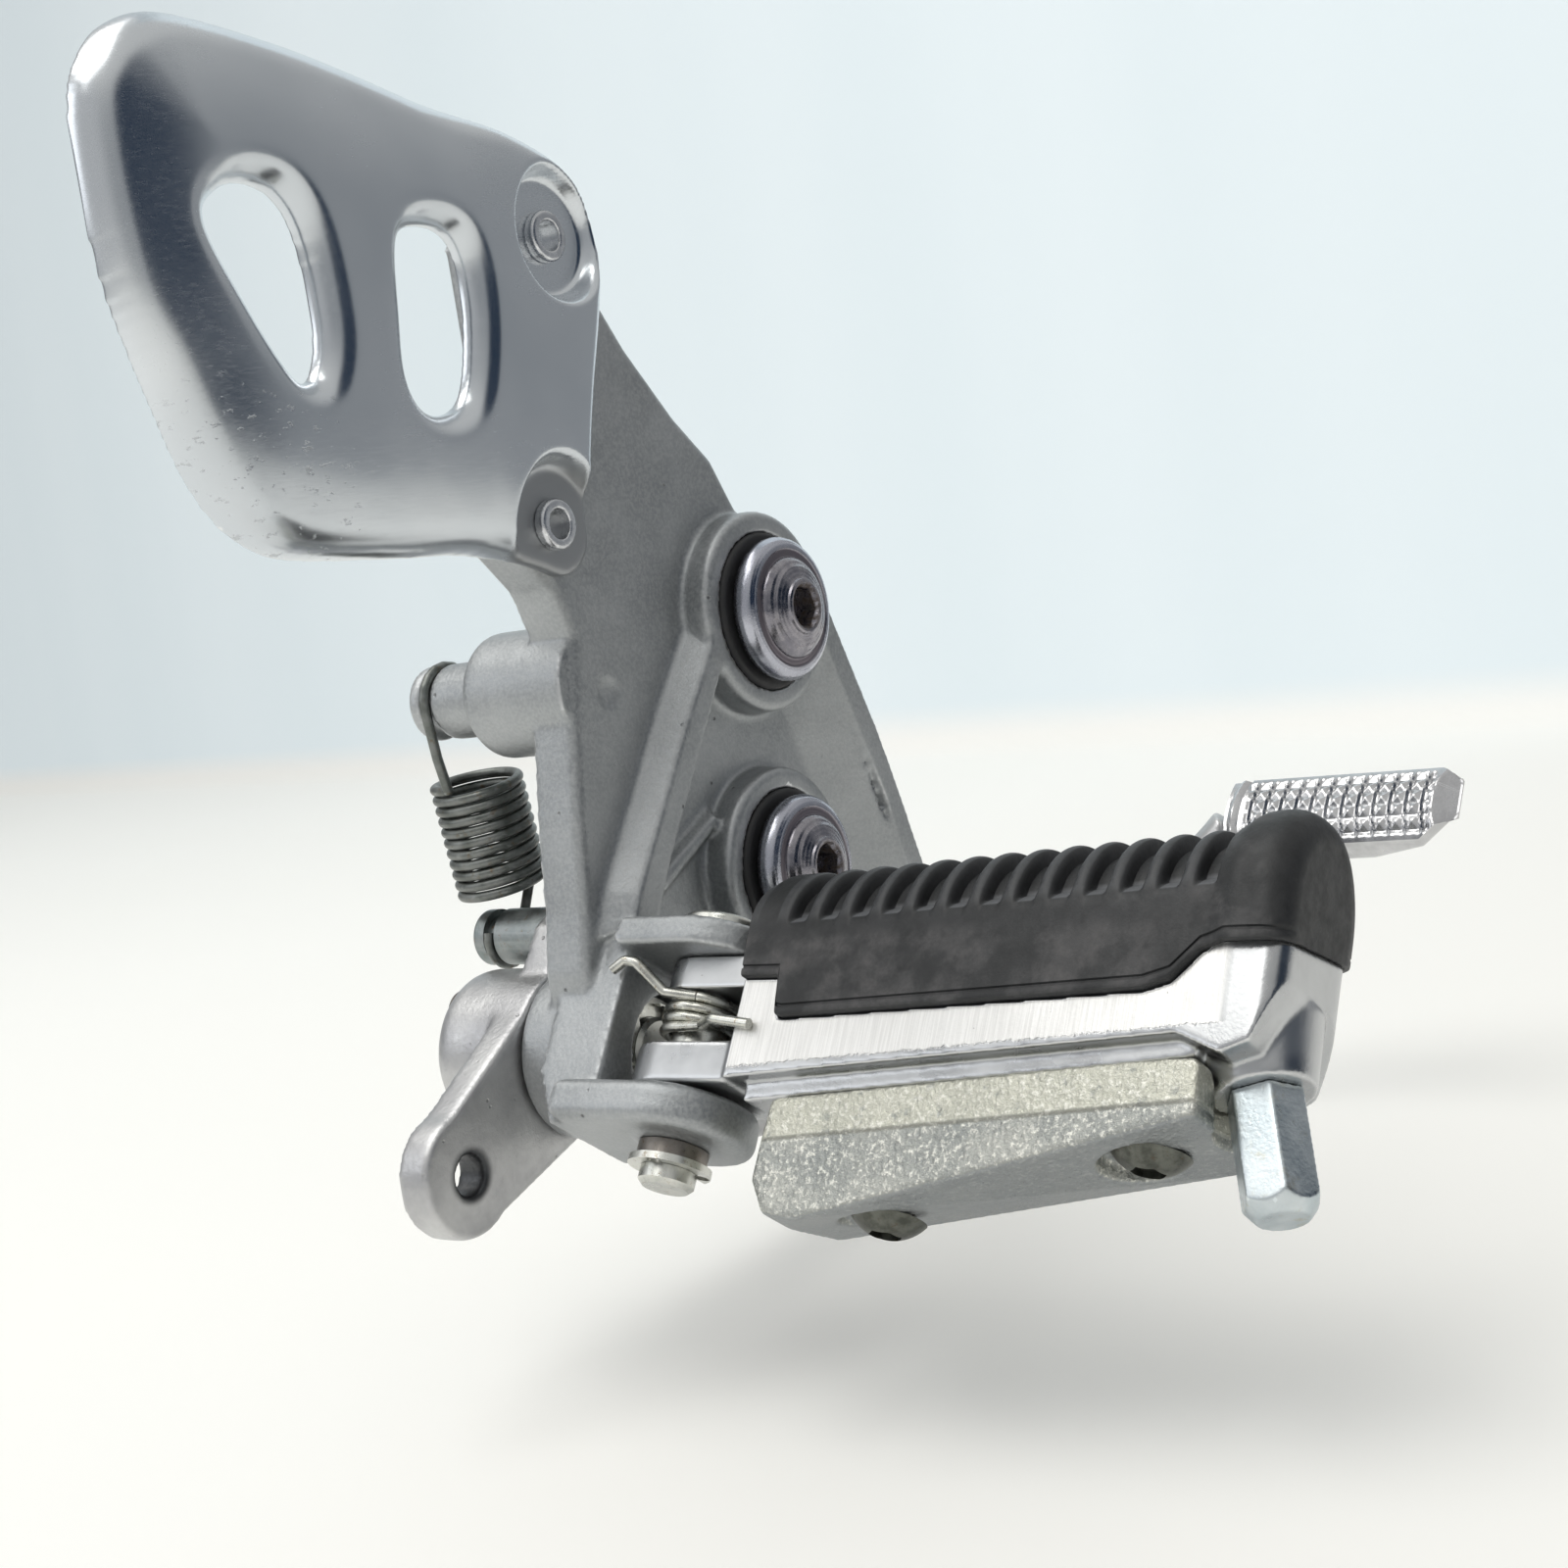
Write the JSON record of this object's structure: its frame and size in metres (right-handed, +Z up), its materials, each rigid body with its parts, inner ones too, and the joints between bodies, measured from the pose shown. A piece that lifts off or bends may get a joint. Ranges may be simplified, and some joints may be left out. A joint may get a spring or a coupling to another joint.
{
  "type": "motorcycle foot peg with brake pedal",
  "caption": "Right-hand motorcycle footrest: cast bracket with heel guard, sprung folding rubber-topped peg with balance weight, and sprung rear brake pedal.",
  "frame": {"origin": "axis of the upper mounting hole, in the plane where the mounting sleeves meet the motorcycle frame", "axes": "+X forward, +Y inboard along the mounting bolts towards the motorcycle, +Z up"},
  "size_m": [0.2252, 0.1478, 0.1741],
  "materials": {
    "cast_aluminium": "satin",
    "guard_aluminium": "polished",
    "peg_aluminium": "satin",
    "pedal_aluminium": "satin",
    "toe_aluminium": "satin",
    "dark_steel": "polished",
    "zinc_steel": "satin",
    "zinc_weight": "satin",
    "spring_steel": "satin",
    "black_rubber": "matte",
    "grommet_rubber": "matte",
    "bush_bronze": "satin"
  },
  "bodies": {
    "bracket": {"bracket_casting": "cast_aluminium", "heel_guard": "guard_aluminium", "heel_guard_rivets": "guard_aluminium", "mounting_bolts": "dark_steel", "mounting_grommets": "grommet_rubber", "mounting_sleeves": "zinc_steel", "pedal_bush": "bush_bronze", "pedal_pivot_washer": "zinc_steel", "peg_pin": "zinc_steel", "peg_pin_washer": "dark_steel", "peg_pin_clip": "zinc_steel", "peg_return_spring": "zinc_steel", "brake_return_spring": "spring_steel"},
    "peg": {"peg_casting": "peg_aluminium", "peg_rubber": "black_rubber", "balance_weight": "zinc_weight", "weight_bolts": "dark_steel", "bank_feeler": "zinc_steel"},
    "pedal": {"brake_pedal": "pedal_aluminium", "toe_tip": "toe_aluminium", "spring_anchor_pin": "spring_steel", "hub_screw": "dark_steel", "pedal_pivot_shaft": "zinc_steel", "pedal_pivot_clip": "zinc_steel"}
  },
  "joints": [
    {"name": "peg_fold", "type": "hinge", "parent": "bracket", "child": "peg", "pos_m": [-0.0435, -0.028, -0.0535], "axis": [-0.5878, 0, -0.809], "range_deg": [0, 70], "stiffness_Nm_per_rad": 0.25, "springref_deg": -34.38, "deforming": ["peg_return_spring"]},
    {"name": "brake_stroke", "type": "hinge", "parent": "bracket", "child": "pedal", "pos_m": [-0.0406, 0, -0.06], "axis": [0, 1, 0], "range_deg": [0, 10], "stiffness_Nm_per_rad": 0.25, "springref_deg": -51.57, "deforming": ["brake_return_spring"]}
  ]
}
